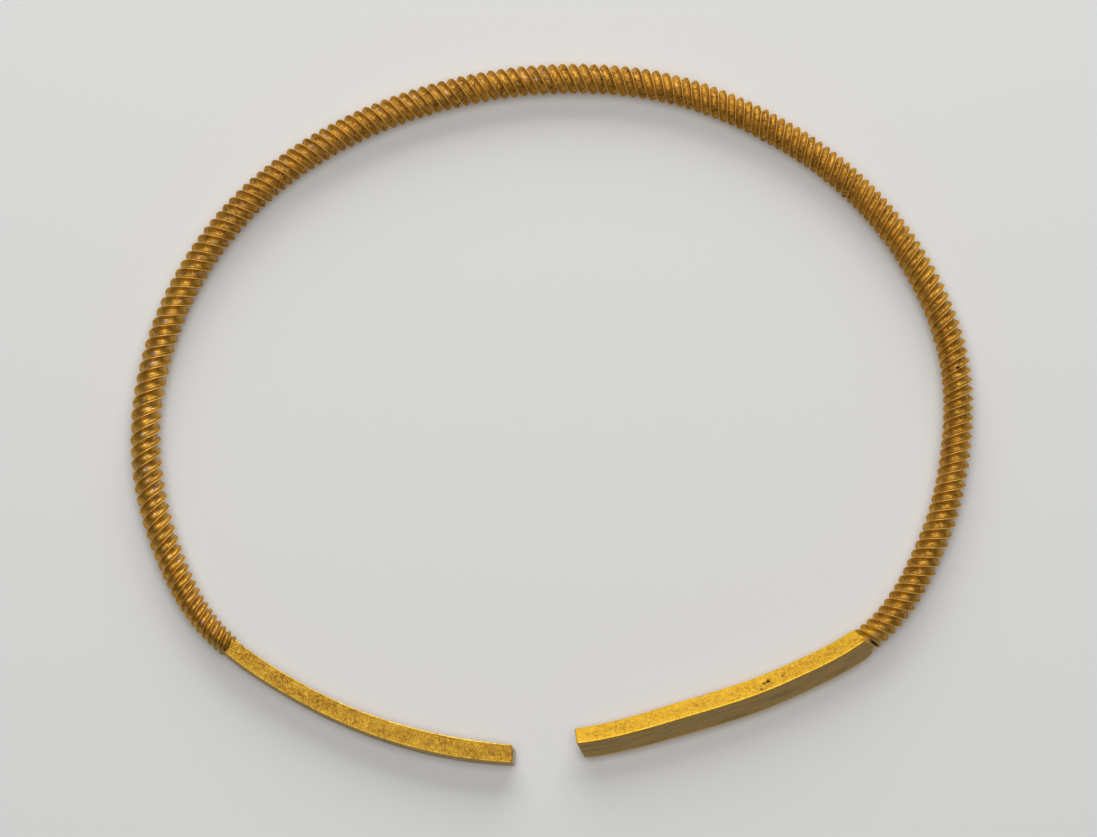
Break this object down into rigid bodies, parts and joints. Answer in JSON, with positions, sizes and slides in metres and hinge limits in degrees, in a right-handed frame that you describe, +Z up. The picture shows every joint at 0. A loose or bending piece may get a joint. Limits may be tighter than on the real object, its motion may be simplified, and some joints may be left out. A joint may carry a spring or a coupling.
{
  "type": "gold torc",
  "caption": "Open oval neck ring made of one gold bar, its middle twisted like a screw, with four crests and shallow flutes, its two ends plain and square.",
  "frame": {"origin": "on the ground, under the middle of the ring's bounding box", "axes": "+Z up from the ground the torc lies on, +X across the ring's width, -Y towards the mouth between the two ends"},
  "size_m": [0.1606, 0.1344, 0.0064],
  "materials": {
    "gold": "satin worn gold, brown dirt in the flutes"
  },
  "bodies": {
    "root": {"gold_torc": "gold"}
  },
  "joints": []
}
